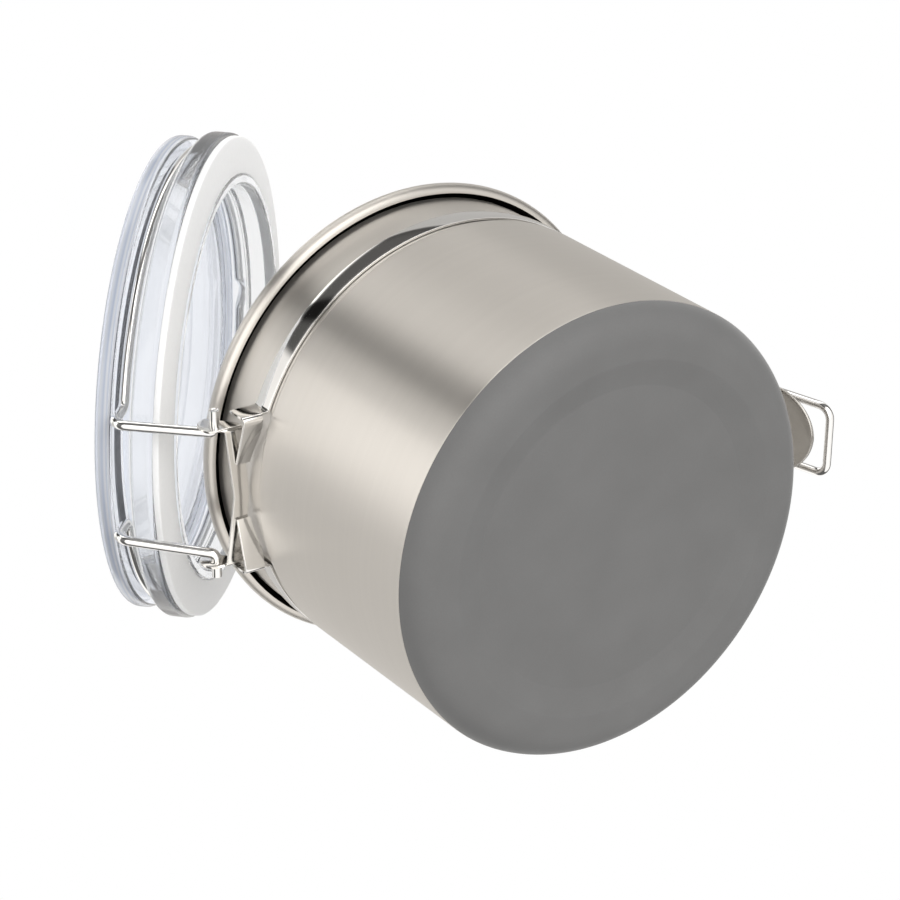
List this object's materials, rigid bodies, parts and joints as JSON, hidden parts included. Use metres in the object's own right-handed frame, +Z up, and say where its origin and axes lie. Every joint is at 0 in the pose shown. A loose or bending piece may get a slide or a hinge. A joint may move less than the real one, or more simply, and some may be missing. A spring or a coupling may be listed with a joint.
{
  "type": "clamp-lid storage canister",
  "caption": "Round steel canister with a grey base boot and a clear lid, hung on a wire bail, sealed by a soft ring and clamped shut by a lever clasp.",
  "frame": {"origin": "on the canister's axis, in the plane that it stands on", "axes": "+Z up along the canister's axis, the lid's hinge at +Y, the clasp at -Y, the hinge line along X"},
  "size_m": [0.131, 0.1688, 0.1926],
  "materials": {
    "brushed_wall": "brushed round the axis",
    "polished_sheet": "polished",
    "brushed_sheet": "brushed lengthways",
    "wire": "bright drawn wire",
    "boot": "matte silicone",
    "clear_plastic": "clear moulded acrylic",
    "seal": "milky silicone"
  },
  "bodies": {
    "canister": {"canister_body": "brushed_wall", "base_boot": "boot", "neck_strap": "polished_sheet", "hinge_bracket": "polished_sheet", "clasp_bracket": "polished_sheet", "clasp_pin": "wire"},
    "lid": {"lid_cap": "clear_plastic", "lid_seal": "seal", "lid_bail": "wire"},
    "lever": {"clasp_lever": "brushed_sheet"},
    "loop": {"clasp_loop": "wire"}
  },
  "joints": [
    {"name": "lid_hinge", "type": "hinge", "parent": "canister", "child": "lid", "pos_m": [0, 0.0669, 0.07835], "axis": [-1, 0, 0], "range_deg": [-44.5, 75.5]},
    {"name": "lever_pivot", "type": "hinge", "parent": "canister", "child": "lever", "pos_m": [0, -0.0685, 0.07335], "axis": [-1, 0, 0], "range_deg": [0, 100]},
    {"name": "loop_pivot", "type": "hinge", "parent": "lever", "child": "loop", "pos_m": [0, -0.0685, 0.05975], "axis": [-1, 0, 0], "range_deg": [0, 86]}
  ]
}
